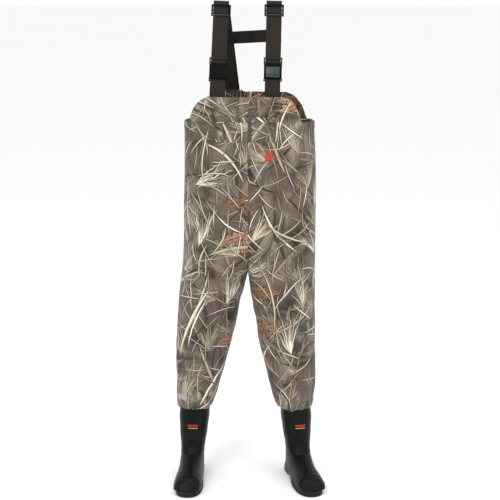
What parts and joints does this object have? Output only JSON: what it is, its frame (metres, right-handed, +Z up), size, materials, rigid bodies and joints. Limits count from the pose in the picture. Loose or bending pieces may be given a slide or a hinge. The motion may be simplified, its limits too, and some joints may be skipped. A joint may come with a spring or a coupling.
{
  "type": "chest waders",
  "caption": "Camouflage neoprene chest waders with a two-compartment chest pocket, bonded rubber boots and webbing shoulder straps with side-release buckles and sliders.",
  "frame": {"origin": "hanging point: midway between the undersides of the two shoulder-strap folds, on the plane of the centre seam", "axes": "+Z up along the wearer's height, -Y the way the wearer faces, +X the wearer's left"},
  "size_m": [0.513, 0.3346, 1.6411],
  "materials": {
    "camo_fabric": "marsh-reed print on smooth knitted face",
    "hem_elastic": "gathered elastic",
    "seam_tape": "matt heat-sealed tape",
    "strap_elastic": "ribbed elastic",
    "strap_webbing": "woven polypropylene",
    "buckle_plastic": "moulded acetal, slight gloss",
    "boot_rubber": "moulded, satin",
    "sole_rubber": "moulded, matt",
    "insole_felt": "needle felt",
    "shank_steel": "spring steel",
    "boot_badge": "moulded two-colour badge",
    "emblem_thread": "embroidered"
  },
  "bodies": {
    "body": {"left_torso_panel": "camo_fabric", "right_torso_panel": "camo_fabric", "left_hip_fabric": "camo_fabric", "right_hip_fabric": "camo_fabric", "front_hem_binding": "camo_fabric", "back_hem_elastic": "hem_elastic", "front_seam_tape": "seam_tape", "back_seam_tape": "seam_tape", "chest_pocket": "camo_fabric", "pocket_divider": "camo_fabric", "pocket_hem": "camo_fabric", "chest_emblem": "emblem_thread", "cross_elastic": "strap_elastic", "cross_webbing": "strap_webbing", "left_lower_strap": "strap_webbing", "left_shoulder_strap": "strap_webbing", "left_buckle_socket": "buckle_plastic", "left_front_webbing": "strap_webbing", "left_rear_webbing": "strap_webbing", "right_lower_strap": "strap_webbing", "right_shoulder_strap": "strap_webbing", "right_buckle_socket": "buckle_plastic", "right_front_webbing": "strap_webbing", "right_rear_webbing": "strap_webbing"},
    "left_thigh": {"left_thigh_panel": "camo_fabric", "left_knee_fabric": "camo_fabric"},
    "left_shin": {"left_shin_panel": "camo_fabric", "left_cuff_hem": "camo_fabric", "left_collar_tape": "seam_tape", "left_boot_upper": "boot_rubber", "left_toe_cap": "boot_rubber", "left_outsole": "sole_rubber", "left_insole": "insole_felt", "left_shank": "shank_steel", "left_boot_badge": "boot_badge"},
    "left_plug": {"left_buckle_plug": "buckle_plastic", "left_plug_loop": "strap_webbing"},
    "left_outer_prong": {"left_outer_prong": "buckle_plastic"},
    "left_inner_prong": {"left_inner_prong": "buckle_plastic"},
    "left_glide": {"left_strap_glide": "buckle_plastic"},
    "right_thigh": {"right_thigh_panel": "camo_fabric", "right_knee_fabric": "camo_fabric"},
    "right_shin": {"right_shin_panel": "camo_fabric", "right_cuff_hem": "camo_fabric", "right_collar_tape": "seam_tape", "right_boot_upper": "boot_rubber", "right_toe_cap": "boot_rubber", "right_outsole": "sole_rubber", "right_insole": "insole_felt", "right_shank": "shank_steel", "right_boot_badge": "boot_badge"},
    "right_plug": {"right_buckle_plug": "buckle_plastic", "right_plug_loop": "strap_webbing"},
    "right_outer_prong": {"right_outer_prong": "buckle_plastic"},
    "right_inner_prong": {"right_inner_prong": "buckle_plastic"},
    "right_glide": {"right_strap_glide": "buckle_plastic"}
  },
  "joints": [
    {"name": "left_hip", "type": "hinge", "parent": "body", "child": "left_thigh", "pos_m": [0.112, -0.012, -0.818], "axis": [-1, 0, 0], "range_deg": [-15, 60], "deforming": ["left_hip_fabric"]},
    {"name": "left_knee", "type": "hinge", "parent": "left_thigh", "child": "left_shin", "pos_m": [0.138, -0.02, -1.168], "axis": [1, 0, 0], "range_deg": [0, 75], "deforming": ["left_knee_fabric"]},
    {"name": "left_plug_release", "type": "slide", "parent": "body", "child": "left_plug", "axis": [0.0224, 0.267, 0.9634], "range_m": [0, 0.032], "deforming": ["left_outer_prong", "left_inner_prong", "left_front_webbing", "left_rear_webbing"]},
    {"name": "left_outer_prong_squeeze", "type": "hinge", "parent": "left_plug", "child": "left_outer_prong", "pos_m": [0.09935, -0.06434, -0.20771], "axis": [0, 0.9637, -0.2671], "range_deg": [0, 12], "stiffness_Nm_per_rad": 0.5},
    {"name": "left_inner_prong_squeeze", "type": "hinge", "parent": "left_plug", "child": "left_inner_prong", "pos_m": [0.06336, -0.06412, -0.20693], "axis": [0, -0.9637, 0.2671], "range_deg": [0, 12], "stiffness_Nm_per_rad": 0.5},
    {"name": "left_glide_slide", "type": "slide", "parent": "body", "child": "left_glide", "axis": [-0.0224, -0.267, -0.9634], "range_m": [0, 0.08]},
    {"name": "right_hip", "type": "hinge", "parent": "body", "child": "right_thigh", "pos_m": [-0.112, -0.012, -0.818], "axis": [-1, 0, 0], "range_deg": [-15, 60], "deforming": ["right_hip_fabric"]},
    {"name": "right_knee", "type": "hinge", "parent": "right_thigh", "child": "right_shin", "pos_m": [-0.155, -0.02, -1.168], "axis": [1, 0, 0], "range_deg": [0, 75], "deforming": ["right_knee_fabric"]},
    {"name": "right_plug_release", "type": "slide", "parent": "body", "child": "right_plug", "axis": [0.0448, 0.2668, 0.9627], "range_m": [0, 0.032], "deforming": ["right_outer_prong", "right_inner_prong", "right_front_webbing", "right_rear_webbing"]},
    {"name": "right_outer_prong_squeeze", "type": "hinge", "parent": "right_plug", "child": "right_outer_prong", "pos_m": [-0.11328, -0.06404, -0.20662], "axis": [0, -0.9637, 0.2671], "range_deg": [0, 12], "stiffness_Nm_per_rad": 0.5},
    {"name": "right_inner_prong_squeeze", "type": "hinge", "parent": "right_plug", "child": "right_inner_prong", "pos_m": [-0.07732, -0.06447, -0.20817], "axis": [0, 0.9637, -0.2671], "range_deg": [0, 12], "stiffness_Nm_per_rad": 0.5},
    {"name": "right_glide_slide", "type": "slide", "parent": "body", "child": "right_glide", "axis": [-0.0448, -0.2668, -0.9627], "range_m": [0, 0.08]}
  ],
  "couplings": [
    {"joint": "left_inner_prong_squeeze", "follows": "left_outer_prong_squeeze", "ratio": 1},
    {"joint": "right_inner_prong_squeeze", "follows": "right_outer_prong_squeeze", "ratio": 1}
  ]
}
